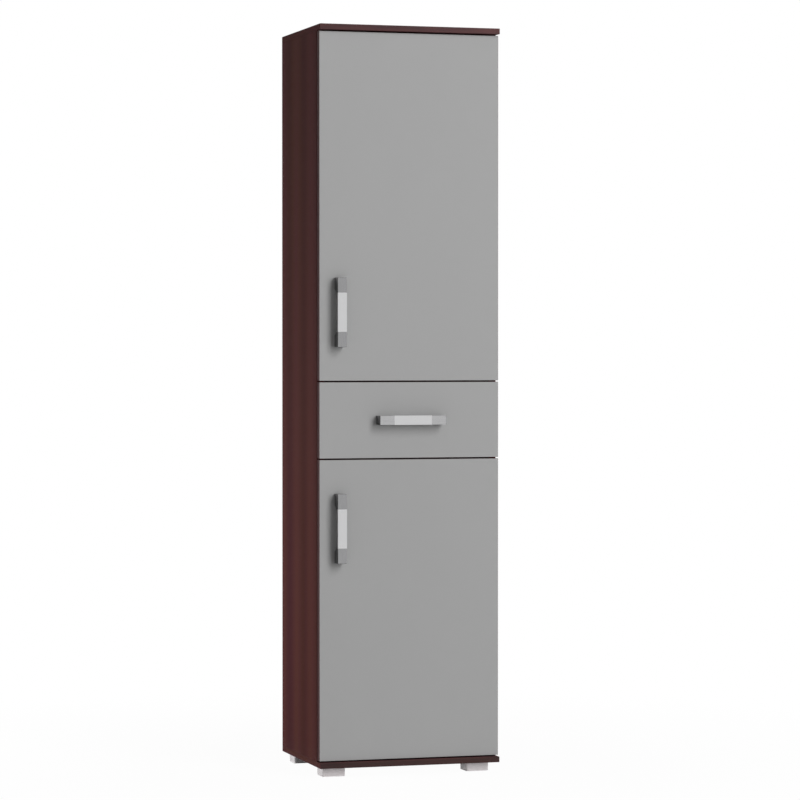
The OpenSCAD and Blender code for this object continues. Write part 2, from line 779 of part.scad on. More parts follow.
module upper_hinge_cups() { cups(UPPER_HINGES); }
module lower_hinge_cups() { cups(LOWER_HINGES); }
module upper_cup_screws() { cup_screws(UPPER_HINGES); }
module lower_cup_screws() { cup_screws(LOWER_HINGES); }
module upper_hinge_pins() { hinge_pins(UPPER_HINGES); }
module lower_hinge_pins() { hinge_pins(LOWER_HINGES); }

// Doors

module door_panel(z0, z1, heights, handle_z) {
    color(grey) difference() {
        board([-x_front, y_face, z0], [x_front, y_door, z1]);
        for (z = heights) {
            translate([cup_x, y_door, z]) to_front() hole(cup_d - 2 * fit, cup_depth + 0.1);
            for (s = [-1, 1]) translate([cup_x - cup_screw_x, y_door, z + s * cup_screw_span / 2])
                to_front() hole(screw_d, screw_l);
        }
        for (k = [-1, 1]) translate([handle_x, y_face - 1, handle_z + k * handle_holes / 2]) to_back()
            cylinder(d = handle_screw_d + 0.4, h = door_t + 2);
    }
}

module upper_door_panel() { door_panel(z_up0, z_up1, UPPER_HINGES, z_up_handle); }
module lower_door_panel() { door_panel(z_lo0, z_lo1, LOWER_HINGES, z_lo_handle); }

// Soft stops between a door and the front edge of the left-hand side
module bumpers(z0, z1) {
    color(white) for (z = [z0 + bumper_end, z1 - bumper_end])
        translate([-x_out + side_t / 2, y_door, z]) to_back() {
            cylinder(d = bumper_d, h = bumper_t / 2);
            translate([0, 0, bumper_t / 2]) cylinder(d1 = bumper_d, d2 = 0.65 * bumper_d, h = bumper_t / 2);
        }
}

module upper_bumpers() { bumpers(z_up0, z_up1); }
module lower_bumpers() { bumpers(z_lo0, z_lo1); }

// Handles, made along +X on the face y = 0, standing out to -Y

// Side view: two long feet joined to the bar by wide arches, with bevelled outer ends
module handle_plan() {
    half = handle_l / 2;
    rise = handle_out - bar_d;
    arch = [for (a = [0:10:90])
        [handle_foot_l - half + handle_sweep * (1 - cos(a)), -rise * sin(a)]];
    polygon(concat(
        [[handle_edge - half, -handle_out], [-half, handle_edge - handle_out], [-half, 0]],
        arch, [for (i = [len(arch) - 1:-1:0]) [-arch[i][0], arch[i][1]]],
        [[half, 0], [half, handle_edge - handle_out], [half - handle_edge, -handle_out]]));
}

// Cast body, cut back all round its middle to seat the grip plate
module handle_body() {
    seat = handle_l / 2 - handle_end_l;
    core = handle_w / 2 + grip_proud - grip_wall - rest_gap;
    difference() {
        translate([0, 0, -handle_w / 2]) linear_extrude(handle_w) handle_plan();
        block([-seat, -handle_out - 1, -handle_w], [seat, -handle_out + grip_wall + rest_gap, handle_w]);
        for (z = [-handle_w, core]) block([-seat, -handle_out, z],
            [seat, -handle_out + grip_d + rest_gap, z + handle_w - core]);
        for (s = [-1, 1]) translate([s * handle_holes / 2, 1, 0]) to_front()
            cylinder(d = handle_screw_d + 2 * fit, h = handle_screw_in + 2);
    }
}

// Brushed plate folded over the bar between the two ends
module grip_body() {
    half = handle_l / 2 - handle_end_l - fit;
    w = handle_w / 2 + grip_proud;
    difference() {
        block([-half, -handle_out, -w], [half, -handle_out + grip_d, w]);
        block([-half - 1, -handle_out + grip_wall, -w + grip_wall],
            [half + 1, -handle_out + grip_d + 1, w - grip_wall]);
    }
}

// Machine screw along -Y from the back of a front of thickness t into the handle
module handle_screw(t) {
    head_h = 0.55 * handle_screw_d;
    to_front() {
        cylinder(d = handle_screw_d, h = t + handle_screw_in);
        difference() {
            translate([0, 0, -head_h])
                cylinder(d1 = 1.6 * handle_screw_d, d2 = 2 * handle_screw_d, h = head_h);
            cross_recess(handle_screw_d, -head_h);
        }
    }
}

module on_door(z) { translate([handle_x, y_face, z]) rotate([0, 90, 0]) children(); }
module on_drawer() { translate([0, y_face, z_dr_handle]) children(); }

module door_handle_screws(z) {
    color(steel) for (k = [-1, 1])
        translate([handle_x, y_door, z + k * handle_holes / 2]) handle_screw(door_t);
}

module upper_handle() { color(chrome) on_door(z_up_handle) handle_body(); }
module lower_handle() { color(chrome) on_door(z_lo_handle) handle_body(); }
module drawer_handle() { color(chrome) on_drawer() handle_body(); }
module upper_handle_grip() { color(silver) on_door(z_up_handle) grip_body(); }
module lower_handle_grip() { color(silver) on_door(z_lo_handle) grip_body(); }
module drawer_handle_grip() { color(silver) on_drawer() grip_body(); }
module upper_handle_screws() { door_handle_screws(z_up_handle); }
module lower_handle_screws() { door_handle_screws(z_lo_handle); }

module drawer_handle_screws() {
    color(steel) for (k = [-1, 1])
        translate([k * handle_holes / 2, y_door + box_t, z_dr_handle]) handle_screw(door_t + box_t);
}

// Drawer

module drawer_front() {
    color(grey) difference() {
        board([-x_front, y_face, z_dr0], [x_front, y_door, z_dr1]);
        for (k = [-1, 1]) translate([k * handle_holes / 2, y_face - 1, z_dr_handle]) to_back()
            cylinder(d = handle_screw_d + 0.4, h = door_t + 2);
        for (p = FRONT_SCREWS) translate([p[0], y_door, p[1]]) to_front()
            hole(screw_d, front_screw_l + 0.5);
    }
}

// Slot for the drawer bottom, between two corners in X and Y
module bottom_slot(lo, hi) {
    block([lo[0], lo[1], bottom_z], [hi[0], hi[1], bottom_z + bottom_t + 2 * bottom_play]);
}

module drawer_inner_front() {
    x = box_x - box_t;
    color(white) difference() {
        board([-x, y_door, box_z], [x, y_door + box_t, box_top]);
        bottom_slot([-x - 1, y_door + box_t - groove_d], [x + 1, y_door + box_t + 1]);
        for (k = [-1, 1]) translate([k * handle_holes / 2, y_door - 1, z_dr_handle]) to_back()
            cylinder(d = handle_screw_d + 0.4, h = box_t + 2);
        for (p = FRONT_SCREWS) translate([p[0], y_door - 1, p[1]]) to_back()
            cylinder(d = screw_d + 2 * fit, h = box_t + 2);
        box_screw_holes(y_door + box_t / 2);
    }
}

// Holes in the ends of the inner front and the back for the box screws
module box_screw_holes(y) {
    for (s = [-1, 1], z = box_screw_zs) on_side(s)
        translate([box_x - box_t, y, z]) to_left() hole(screw_d, box_screw_l + 0.5);
}

module drawer_side() {
    color(white) difference() {
        board([box_x - box_t, y_door, box_z], [box_x, box_y1, box_top]);
        bottom_slot([box_x - box_t - 1, y_door - 1], [box_x - box_t + groove_d, box_y1 + 1]);
        for (y = box_screw_ys, z = box_screw_zs) translate([box_x + 1, y, z]) to_left() {
            cylinder(d = screw_d + 2 * fit, h = box_t + 2);
            cylinder(d = 2 * screw_d + 0.4, h = 1 + screw_d / 3 + 0.1);
        }
        for (y = rail_screw_ys) translate([box_x, y, rail_screw_z]) to_left()
            hole(screw_d, rail_screw_l + 0.5);
    }
}

module drawer_left_side() { mirror([1, 0, 0]) drawer_side(); }
module drawer_right_side() { drawer_side(); }

module drawer_back() {
    x = box_x - box_t;
    color(white) difference() {
        board([-x, box_y1 - box_t, bottom_z + bottom_t + 2 * bottom_play], [x, box_y1, box_top]);
        box_screw_holes(box_y1 - box_t / 2);
    }
}

module drawer_bottom() {
    x = box_x - box_t + groove_d - 0.5;
    color(white) block([-x, y_door + box_t - groove_d + 0.5, bottom_z + bottom_play],
        [x, box_y1 - 1, bottom_z + bottom_play + bottom_t]);
}

module drawer_screws() {
    color(steel) for (s = [-1, 1], y = box_screw_ys, z = box_screw_zs)
        on_side(s) translate([box_x - screw_d / 3 - 0.1, y, z]) to_left()
            wood_screw(screw_d, box_screw_l, box_t - screw_d / 3);
}

module drawer_front_screws() {
    color(steel) for (p = FRONT_SCREWS) translate([p[0], y_door + box_t, p[1]]) to_front()
        wood_screw(screw_d, front_screw_l, box_t);
}

// Runners: u counts from the side's inner face towards the drawer, z from the channel's lower edge

// Section of the channel on the cabinet's side, with a short lip on its lower flange
module channel_section() {
    square([sheet_t, chan_h]);
    square([flange_w, sheet_t]);
    translate([0, chan_h - sheet_t]) square([flange_w, sheet_t]);
}

// Section of the drawer's rail: a flange under the box side, a web and a running flange at the top
module rail_section() {
    z0 = box_z - z_chan - sheet_t;
    top = run_flange + sheet_t;
    translate([rail_web, z0]) square([sheet_t, top - z0]);
    translate([rail_web, z0]) square([sheet_t + box_t - 1, sheet_t]);
    translate([roller_u, run_flange]) square([runner_space - roller_u, sheet_t]);
}

// A section drawn in u and z, run along Y on the right-hand side
module run_section(y0, y1) {
    translate([x_in, y1, z_chan]) mirror([1, 0, 0]) rotate([90, 0, 0])
        linear_extrude(y1 - y0) children();
}

// Place children that point along +Z so that they point inwards from u, at y and z in the runner
module in_runner(u, y, z) {
    translate([x_in - u, y, z_chan + z]) to_left() children();
}

module channel() {
    color(steel) difference() {
        union() {
            run_section(chan_y0, chan_y0 + runner_l) channel_section();
            in_runner(0, near_roller_y, run_z) cylinder(d = axle_d, h = roller_u + roller_w + 0.6);
            in_runner(roller_u + roller_w + roller_play, near_roller_y, run_z)
                cylinder(d = axle_d + 2, h = 0.6);
            in_runner(sheet_t, near_roller_y, run_z)
                cylinder(d = axle_d + 2, h = roller_u - sheet_t - roller_play);
        }
        for (y = chan_screw_ys) in_runner(-1, y, chan_h / 2)
            cylinder(d = screw_d + 2 * fit, h = sheet_t + 2);
    }
}

module left_channel() { mirror([1, 0, 0]) channel(); }
module right_channel() { channel(); }

module channel_screws() {
    color(steel) for (s = [-1, 1], y = chan_screw_ys)
        on_side(s) translate([x_in - sheet_t, y, z_chan + chan_h / 2]) to_right()
            wood_screw(screw_d, screw_l - 1, sheet_t);
}

module rail() {
    color(steel) difference() {
        union() {
            run_section(rail_y0, rail_y0 + runner_l) rail_section();
            in_runner(roller_u - 0.8, far_roller_y, run_z)
                cylinder(d = axle_d, h = rail_web - roller_u + 0.8 + sheet_t / 2);
            in_runner(roller_u - 0.8, far_roller_y, run_z) cylinder(d = axle_d + 2, h = 0.6);
            in_runner(roller_u + roller_w + roller_play, far_roller_y, run_z)
                cylinder(d = axle_d + 2, h = rail_web - roller_u - roller_w - roller_play);
        }
        for (y = rail_screw_ys) in_runner(rail_web - 1, y, rail_screw_z - z_chan)
            cylinder(d = screw_d + 2 * fit, h = sheet_t + 2);
    }
}

module drawer_left_rail() { mirror([1, 0, 0]) rail(); }
module drawer_right_rail() { rail(); }

module rail_screws() {
    color(steel) for (s = [-1, 1], y = rail_screw_ys)
        on_side(s) translate([box_x + sheet_t, y, rail_screw_z]) to_left()
            wood_screw(screw_d, rail_screw_l, sheet_t);
}

// Roller with a shallow groove in its rim
module roller() {
    r = roller_d / 2;
    rotate_extrude() polygon([
        [axle_d / 2 + fit, 0], [r - 0.5, 0], [r, 0.5], [r, roller_w - 0.5], [r - 0.5, roller_w],
        [r - 2, roller_w], [r - 2.6, roller_w - 0.8], [axle_d / 2 + 2.6, roller_w - 0.8],
        [axle_d / 2 + 2, roller_w], [axle_d / 2 + fit, roller_w]]);
}

module rollers(y) {
    color(white) for (s = [-1, 1]) on_side(s) in_runner(roller_u, y, run_z) roller();
}

module cabinet_rollers() { rollers(near_roller_y); }
module drawer_rollers() { rollers(far_roller_y); }

left_side();
right_side();
top_board();
bottom_board();
back_panel();
upper_fixed_shelf();
lower_fixed_shelf();
upper_shelf_high();
upper_shelf_low();
lower_shelf();
shelf_pins();
front_left_foot();
front_right_foot();
rear_left_foot();
rear_right_foot();
foot_screws();
assembly_screws();
cam_locks();
cam_bolts();
dowels();
back_nails();
hinge_plates();
hinge_arms();
hinge_plate_screws();
hinge_adjusters();
left_channel();
right_channel();
channel_screws();
upper_door_panel();
upper_hinge_cups();
upper_cup_screws();
upper_hinge_pins();
upper_handle();
upper_handle_grip();
upper_handle_screws();
upper_bumpers();
lower_door_panel();
lower_hinge_cups();
lower_cup_screws();
lower_hinge_pins();
lower_handle();
lower_handle_grip();
lower_handle_screws();
lower_bumpers();
drawer_front();
drawer_inner_front();
drawer_left_side();
drawer_right_side();
drawer_back();
drawer_bottom();
drawer_left_rail();
drawer_right_rail();
drawer_screws();
drawer_front_screws();
rail_screws();
drawer_handle();
drawer_handle_grip();
drawer_handle_screws();
cabinet_rollers();
drawer_rollers();
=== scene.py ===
"""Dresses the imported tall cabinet: its finishes, the studio light, the floor and the camera.

Everything is in metres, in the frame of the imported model: +X to the right, +Y to the back,
+Z up, with the fronts facing -Y and the feet on the floor. Each visible form is a node of
that model, which keeps its mesh, so this script adds only finishes and the studio.
"""
import logging
import math
from dataclasses import dataclass, replace
from enum import Enum
from typing import Any, ClassVar, Iterable

import bpy
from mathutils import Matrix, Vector

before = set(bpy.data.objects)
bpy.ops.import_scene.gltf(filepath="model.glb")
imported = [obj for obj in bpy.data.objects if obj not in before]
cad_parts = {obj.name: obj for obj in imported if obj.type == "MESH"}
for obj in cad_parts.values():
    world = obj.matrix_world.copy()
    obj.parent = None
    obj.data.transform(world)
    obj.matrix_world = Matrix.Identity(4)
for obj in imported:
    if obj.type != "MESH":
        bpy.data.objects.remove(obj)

LOG = logging.getLogger("tall_cabinet")
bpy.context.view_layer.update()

Triple = tuple[float, float, float]
Colour = Triple
Span = tuple[float, float]
Names = tuple[str, ...]

WHITE: Colour = (1.0, 1.0, 1.0)

# A face looks along an axis where its normal has more than this along it.
TURNED_FACE = 0.8
# The same, for the broad faces of a panel.
FLAT_FACE = 0.9

# Sockets of a Mix node for colours: its factor, its two colours and its result.
MIX_FACTOR, MIX_FIRST, MIX_SECOND, MIX_RESULT = 0, 6, 7, 2


class Axis(Enum):
    """Direction that a grain, a brushing or a wave runs along."""

    X = (1.0, 0.0, 0.0)
    Y = (0.0, 1.0, 0.0)
    Z = (0.0, 0.0, 1.0)

    def stretch(self, across: float, along: float) -> Triple:
        """Scale of a pattern, per metre, across this axis and along it."""
        return tuple(along if part else across for part in self.value)


class Wire:
    """A socket in a node tree. An expression on it adds the Math nodes that work it out."""

    def __init__(self, graph: "Graph", socket: bpy.types.NodeSocket | None) -> None:
        """Wraps an output socket.

        Args:
            graph: Tree that the socket belongs to.
            socket: The output socket, or None for a node that has no output.
        """
        self.graph = graph
        self.socket = socket

    def _math(self, operation: str, *terms: "Wire | float") -> "Wire":
        """Adds one Math node and returns its output."""
        return self.graph.node("ShaderNodeMath", {"operation": operation},
                               dict(enumerate(terms)))

    def __add__(self, other: "Wire | float") -> "Wire":
        """Sum."""
        return self._math("ADD", self, other)

    def __radd__(self, other: float) -> "Wire":
        """Sum, with the number on the left."""
        return self._math("ADD", other, self)

    def __sub__(self, other: "Wire | float") -> "Wire":
        """Difference."""
        return self._math("SUBTRACT", self, other)

    def __rsub__(self, other: float) -> "Wire":
        """Difference, with the number on the left."""
        return self._math("SUBTRACT", other, self)

    def __mul__(self, other: "Wire | float") -> "Wire":
        """Product."""
        return self._math("MULTIPLY", self, other)

    def __rmul__(self, other: float) -> "Wire":
        """Product, with the number on the left."""
        return self._math("MULTIPLY", other, self)

    def __gt__(self, other: "Wire | float") -> "Wire":
        """1 where this is greater than the other."""
        return self._math("GREATER_THAN", self, other)

    def __abs__(self) -> "Wire":
        """Absolute value."""
        return self._math("ABSOLUTE", self)

    def cosine(self) -> "Wire":
        """Cosine, of an angle in radians."""
        return self._math("COSINE", self)

    def larger(self, other: "Wire | float") -> "Wire":
        """The larger of the two."""
        return self._math("MAXIMUM", self, other)

    def between(self, low: float, high: float) -> "Wire":
        """This value spread so that low gives 0 and high gives 1, clamped."""
        return self.graph.node("ShaderNodeMapRange", {"clamp": True},
                               {"Value": self, "From Min": low, "From Max": high})


class Graph:
    """Node tree of one material or of the world."""

    def __init__(self, tree: bpy.types.NodeTree) -> None:
        """Empties a tree and keeps it.

        Args:
            tree: Tree to fill.
        """
        tree.nodes.clear()
        self.tree = tree

    def node(self, kind: str, settings: dict[str, Any] | None = None,
             inputs: dict[int | str, Any] | None = None, out: int | str = 0) -> Wire:
        """Adds any node.

        Args:
            kind: Node type, such as ShaderNodeMath.
            settings: The node's own properties, such as an operation, which are set first.
            inputs: A value or a Wire for each socket, by index or name.
            out: Output to return, by index or name.

        Returns:
            The chosen output.
        """
        made = self.tree.nodes.new(kind)
        for name, value in (settings or {}).items():
            setattr(made, name, value)
        for key, value in (inputs or {}).items():
            socket = made.inputs[key]
            if isinstance(value, Wire):
                self.tree.links.new(value.socket, socket)
            elif socket.type == "RGBA" and len(value) == 3:
                socket.default_value = (*value, 1.0)
            else:
                socket.default_value = value
        return Wire(self, made.outputs[out] if made.outputs else None)

    def place(self) -> Wire:
        """The point on the object, in metres in the frame at rest."""
        return self.node("ShaderNodeTexCoord", out="Object")

    def normal(self) -> Wire:
        """The surface's normal, in the axes of its own piece."""
        return self.node("ShaderNodeTexCoord", out="Normal")

    def part(self, vector: Wire, axis: Axis) -> Wire:
        """A vector's part along an axis."""
        return self.node("ShaderNodeSeparateXYZ", inputs={0: vector}, out=axis.name)

    def facing(self, axis: Axis) -> Wire:
        """How much the surface faces along an axis of its own piece, whichever way it opens."""
        return abs(self.part(self.normal(), axis))

    def scaled(self, vector: Wire, factors: Triple) -> Wire:
        """A vector with each part multiplied."""
        return self.node("ShaderNodeVectorMath", {"operation": "MULTIPLY"},
                         {0: vector, 1: factors})

    def mix(self, factor: Wire | float, first: Wire | Colour, second: Wire | Colour) -> Wire:
        """Colour between two, at the factor."""
        inputs = {MIX_FACTOR: factor, MIX_FIRST: first, MIX_SECOND: second}
        return self.node("ShaderNodeMix", {"data_type": "RGBA"}, inputs, MIX_RESULT)

    def brightened(self, colour: Wire, factor: Wire) -> Wire:
        """A colour with each part multiplied by one factor."""
        return self.node("ShaderNodeVectorMath", {"operation": "SCALE"},
                         {0: colour, "Scale": factor})

    def bump(self, height: Wire, depth: float, strength: float) -> Wire:
        """Normal of a surface with a relief of that depth in metres."""
        return self.node("ShaderNodeBump",
                         inputs={"Height": height, "Distance": depth, "Strength": strength})

    def surface(self, **sockets: Any) -> None:
        """Ends a material in one Principled shader.

        Args:
            sockets: A value or a Wire for each of its sockets, named with _ for a space.
        """
        inputs = {name.replace("_", " "): value for name, value in sockets.items()}
        shader = self.node("ShaderNodeBsdfPrincipled", inputs=inputs)
        self.node("ShaderNodeOutputMaterial", inputs={"Surface": shader})


@dataclass(frozen=True)
class Pattern:
    """Noise that varies a finish.

    Attributes:
        scale: Spots per metre along each axis.
        detail: Steps of finer noise.
        span: Noise values that give 0 and 1.
        rough: Weight of the finer steps.
    """

    scale: Triple
    detail: float
    span: Span
    rough: float = 0.55

    def drawn(self, graph: Graph, place: Wire) -> Wire:
        """Draws the pattern.

        Args:
            graph: Tree to add the nodes to.
            place: The point on the object, in metres.

        Returns:
            The pattern at that point, from 0 to 1.
        """
        noise = graph.node("ShaderNodeTexNoise",
                           inputs={"Vector": graph.scaled(place, self.scale), "Scale": 1.0,
                                   "Detail": self.detail, "Roughness": self.rough})
        return noise.between(*self.span)


@dataclass(frozen=True)
class Finish:
    """What a surface is made of. Each kind says how its colour, gloss and relief vary.

    Attributes:
        name: Name of its material.
        colour: Main colour.
    """

    name: str
    colour: Colour

    def tone(self, factor: float) -> Colour:
        """The main colour made lighter or darker, at most white."""
        return tuple(min(1.0, factor * part) for part in self.colour)

    def fill(self, graph: Graph) -> None:
        """Builds the shader in an empty tree."""
        raise NotImplementedError

    def material(self) -> bpy.types.Material:
        """Makes the material, once for each name.

        Returns:
            The material.
        """
        made = bpy.data.materials.get(self.name)
        if made is None:
            made = bpy.data.materials.new(self.name)
            made.use_nodes = True
            made.diffuse_color = (*self.colour, 1.0)
            self.fill(Graph(made.node_tree))
        return made


@dataclass(frozen=True)
class StreakedDecor(Finish):
    """Melamine printed with a dark streaked wood, its grain along one axis.

    Attributes:
        grain: Axis that the grain runs along.
        deep: Colour between the bands, and of the pores.
        red: Colour of the fine lines.
        across: Bands per metre across the grain.
        along: Bands per metre along the grain.
        swell: Share by which a slow wave lightens and darkens the print.
        swell_along: Axis that the wave runs along.
        crest: Place of a crest of the wave on that axis.
        period: Length of the wave.
        trim: Prints of the faces that look along other axes, some of them painted shade.
        line_scale: Fine lines per metre across the grain, and for each band along it.
        pore_scale: Pores per metre across the grain and along it.
        band_span: Noise values where a band starts, and where it is full.
        line_span: The same for the lines.
        pore_span: The same for the pores.
        line_share: How much of the lines' colour shows.
        pore_share: How much of the pores' colour shows.
        specular: Strength of the skin's reflection.
        rough: Roughness of the skin, and what a pore adds to it.
        relief: Depth of the pores, and the strength of their relief.
    """

    grain: Axis = Axis.Z
    deep: Colour = (0.066, 0.036, 0.035)
    red: Colour = (0.135, 0.034, 0.044)
    across: float = 62.0
    along: float = 2.3
    swell: float = 0.0
    swell_along: Axis = Axis.Y
    crest: float = 0.044
    period: float = 0.118
    trim: tuple[tuple[Axis, "StreakedDecor"], ...] = ()
    line_scale: ClassVar[Span] = (330.0, 4.0)
    pore_scale: ClassVar[Span] = (1300.0, 55.0)
    band_span: ClassVar[Span] = (0.34, 0.66)
    line_span: ClassVar[Span] = (0.35, 0.68)
    pore_span: ClassVar[Span] = (0.60, 0.70)
    line_share: ClassVar[float] = 0.42
    pore_share: ClassVar[float] = 0.45
    specular: ClassVar[float] = 0.02
    rough: ClassVar[Span] = (0.55, 0.10)
    relief: ClassVar[Span] = (0.00004, 0.6)

    def print_colour(self, graph: Graph) -> tuple[Wire, Wire]:
        """The printed colour and the height of its pores.

        Args:
            graph: Tree to add the nodes to.

        Returns:
            The colour and the pores' relief.
        """
        place = graph.place()
        lines_across, lines_each = self.line_scale
        broad = self.grain.stretch(self.across, self.along)
        fine = self.grain.stretch(lines_across, lines_each * self.along)
        short = self.grain.stretch(*self.pore_scale)
        bands = Pattern(broad, detail=2.0, span=self.band_span).drawn(graph, place)
        lines = Pattern(fine, detail=3.0, span=self.line_span).drawn(graph, place)
        pores = Pattern(short, detail=2.0, span=self.pore_span).drawn(graph, place)
        colour = graph.mix(bands, self.deep, self.colour)
        colour = graph.mix(lines * self.line_share, colour, self.red)
        colour = graph.mix(pores * self.pore_share, colour, self.deep)
        if self.swell:
            turn = 2.0 * math.pi / self.period
            wave = (graph.part(place, self.swell_along) * turn - turn * self.crest).cosine()
            colour = graph.brightened(colour, 1.0 + self.swell * wave)
        for axis, decor in self.trim:
            face = graph.facing(axis) > TURNED_FACE
            colour = graph.mix(face, colour, decor.print_colour(graph)[0])
        return colour, pores

    def fill(self, graph: Graph) -> None:
        """Builds the shader.

        Args:
            graph: Empty tree to build it in.
        """
        colour, pores = self.print_colour(graph)
        skin, in_pores = self.rough
        graph.surface(Base_Color=colour, Roughness=skin + in_pores * pores,
                      Specular_IOR_Level=self.specular,
                      Normal=graph.bump(1.0 - pores, *self.relief))


@dataclass(frozen=True)
class PlainDecor(Finish):
    """Plain matt melamine on both faces of a panel.

    Attributes:
        band: Decor of the edges, or None where they are like the faces.
        cloud: Broad unevenness of the print.
        cloud_tones: Its darkest and lightest tone.
        grit: Fine grain of the pressed skin.
        grit_tone: Tone of the grit.
        grit_share: How much of that tone shows.
        specular: Strength of the skin's reflection.
        rough: Roughness of the skin, and what the grit adds to it.
        relief: Depth of the grit, and the strength of its relief.
    """

    band: StreakedDecor | None = None
    cloud: ClassVar[Pattern] = Pattern((3.0, 3.0, 2.0), detail=2.0, span=(0.25, 0.75))
    cloud_tones: ClassVar[Span] = (0.985, 1.015)
    grit: ClassVar[Pattern] = Pattern((2600.0, 2600.0, 2200.0), detail=1.0, span=(0.3, 0.7))
    grit_tone: ClassVar[float] = 0.80
    grit_share: ClassVar[float] = 0.06
    specular: ClassVar[float] = 0.20
    rough: ClassVar[Span] = (0.50, 0.12)
    relief: ClassVar[Span] = (0.00002, 0.5)

    def fill(self, graph: Graph) -> None:
        """Builds the shader.

        Args:
            graph: Empty tree to build it in.
        """
        place = graph.place()
        cloud, grit = self.cloud.drawn(graph, place), self.grit.drawn(graph, place)
        shade = graph.mix(cloud, *map(self.tone, self.cloud_tones))
        shade = graph.mix(grit * self.grit_share, shade, self.tone(self.grit_tone))
        if self.band is not None:
            face = graph.facing(Axis.Y) > FLAT_FACE
            shade = graph.mix(face, self.band.print_colour(graph)[0], shade)
        skin, in_grit = self.rough
        graph.surface(Base_Color=shade, Roughness=skin + in_grit * grit,
                      Specular_IOR_Level=self.specular, Normal=graph.bump(grit, *self.relief))


@dataclass(frozen=True)
class Fibreboard(Finish):
    """Thin hard fibreboard: raw and brown at the back, painted on the face that looks inside.

    Attributes:
        paint: Colour of the painted face.
        fibres: Felted fibres of the raw face.
        fibre_tones: Their darkest and lightest tone.
        patches: Darker patches of the raw face.
        patch_tone: Tone of the patches.
        patch_share: How much of that tone shows.
        inner_face: A face is painted where its normal has more than this towards the front.
        specular: Strength of the reflection.
        rough: Roughness of the raw face, and how much less the paint has.
        relief: Depth of the fibres, and the strength of their relief.
    """

    paint: Colour = (0.62, 0.61, 0.59)
    fibres: ClassVar[Pattern] = Pattern((420.0, 420.0, 380.0), detail=5.0, span=(0.3, 0.7),
                                        rough=0.7)
    fibre_tones: ClassVar[Span] = (0.62, 1.30)
    patches: ClassVar[Pattern] = Pattern((9.0, 9.0, 7.0), detail=3.0, span=(0.3, 0.7))
    patch_tone: ClassVar[float] = 0.75
    patch_share: ClassVar[float] = 0.25
    inner_face: ClassVar[float] = 0.5
    specular: ClassVar[float] = 0.3
    rough: ClassVar[Span] = (0.86, 0.36)
    relief: ClassVar[Span] = (0.00008, 0.35)

    def fill(self, graph: Graph) -> None:
        """Builds the shader.

        Args:
            graph: Empty tree to build it in.
        """
        place = graph.place()
        fibres, patches = self.fibres.drawn(graph, place), self.patches.drawn(graph, place)
        raw = graph.mix(fibres, *map(self.tone, self.fibre_tones))
        raw = graph.mix(patches * self.patch_share, raw, self.tone(self.patch_tone))
        inner = (0.0 - graph.part(graph.normal(), Axis.Y)) > self.inner_face
        bare, less = self.rough
        graph.surface(Base_Color=graph.mix(inner, raw, self.paint),
                      Roughness=bare - less * inner, Specular_IOR_Level=self.specular,
                      Normal=graph.bump(fibres, *self.relief))


@dataclass(frozen=True)
class BareWood(Finish):
    """Turned beech, with short flecks along one axis.

    Attributes:
        grain: Axis that the flecks run along.
        fleck_scale: Flecks per metre across the grain and along it.
        fleck_span: Noise values where a fleck starts, and where it is full.
        fleck_tone: Tone of a fleck.
        rough: Roughness of the wood, and what a fleck adds to it.
        relief: Depth of the flecks, and the strength of their relief.
    """

    grain: Axis = Axis.X
    fleck_scale: ClassVar[Span] = (1500.0, 120.0)
    fleck_span: ClassVar[Span] = (0.45, 0.68)
    fleck_tone: ClassVar[float] = 0.6
    rough: ClassVar[Span] = (0.62, 0.2)
    relief: ClassVar[Span] = (0.00005, 0.5)

    def fill(self, graph: Graph) -> None:
        """Builds the shader.

        Args:
            graph: Empty tree to build it in.
        """
        scale = self.grain.stretch(*self.fleck_scale)
        flecks = Pattern(scale, detail=3.0, span=self.fleck_span).drawn(graph, graph.place())
        wood, in_flecks = self.rough
        graph.surface(Base_Color=graph.mix(flecks, self.colour, self.tone(self.fleck_tone)),
                      Roughness=wood + in_flecks * flecks,
                      Normal=graph.bump(flecks, *self.relief))


@dataclass(frozen=True)
class BrushedMetal(Finish):
    """Metal with fine brushing along one axis.

    Attributes:
        brush: Axis that the brushing runs along.
        gloss: Roughness of the metal.
        along: Brush lines per metre along that axis.
        across: Brush lines per metre across it.
        streak: Share by which the lines lighten and darken the metal.
        end_shade: Painted shade, the brightness kept on the faces that look along the brushing.
        line_span: Noise values that give the darkest and the lightest line.
        haze: Faint cloudiness of the gloss.
        line_swing: Range of roughness that the brush lines give.
        haze_swing: Range of roughness that the haze gives.
        relief: Depth of the brush lines, and the strength of their relief.
    """

    brush: Axis = Axis.Z
    gloss: float = 0.30
    along: float = 45.0
    across: float = 5200.0
    streak: float = 0.12
    end_shade: float = 1.0
    line_span: ClassVar[Span] = (0.28, 0.72)
    haze: ClassVar[Pattern] = Pattern((60.0, 60.0, 60.0), detail=3.0, span=(0.3, 0.7))
    line_swing: ClassVar[float] = 0.10
    haze_swing: ClassVar[float] = 0.06
    relief: ClassVar[Span] = (0.000006, 0.5)

    def fill(self, graph: Graph) -> None:
        """Builds the shader.

        Args:
            graph: Empty tree to build it in.
        """
        place = graph.place()
        scale = self.brush.stretch(self.across, self.along)
        lines = Pattern(scale, detail=2.0, span=self.line_span).drawn(graph, place)
        haze = self.haze.drawn(graph, place)
        shade = graph.mix(lines, self.tone(1.0 - self.streak), self.tone(1.0 + self.streak))
        # Painted shade: faces that look along the brushing, the ends of a handle, are darkened
        # to stand in for the shade on them.
        end = graph.facing(self.brush) > TURNED_FACE
        shade = graph.brightened(shade, 1.0 - (1.0 - self.end_shade) * end)
        rough = (self.gloss + self.line_swing * (lines - 0.5)
                 + self.haze_swing * (haze - 0.5))
        graph.surface(Base_Color=shade, Metallic=1.0, Roughness=rough,
                      Normal=graph.bump(lines, *self.relief))


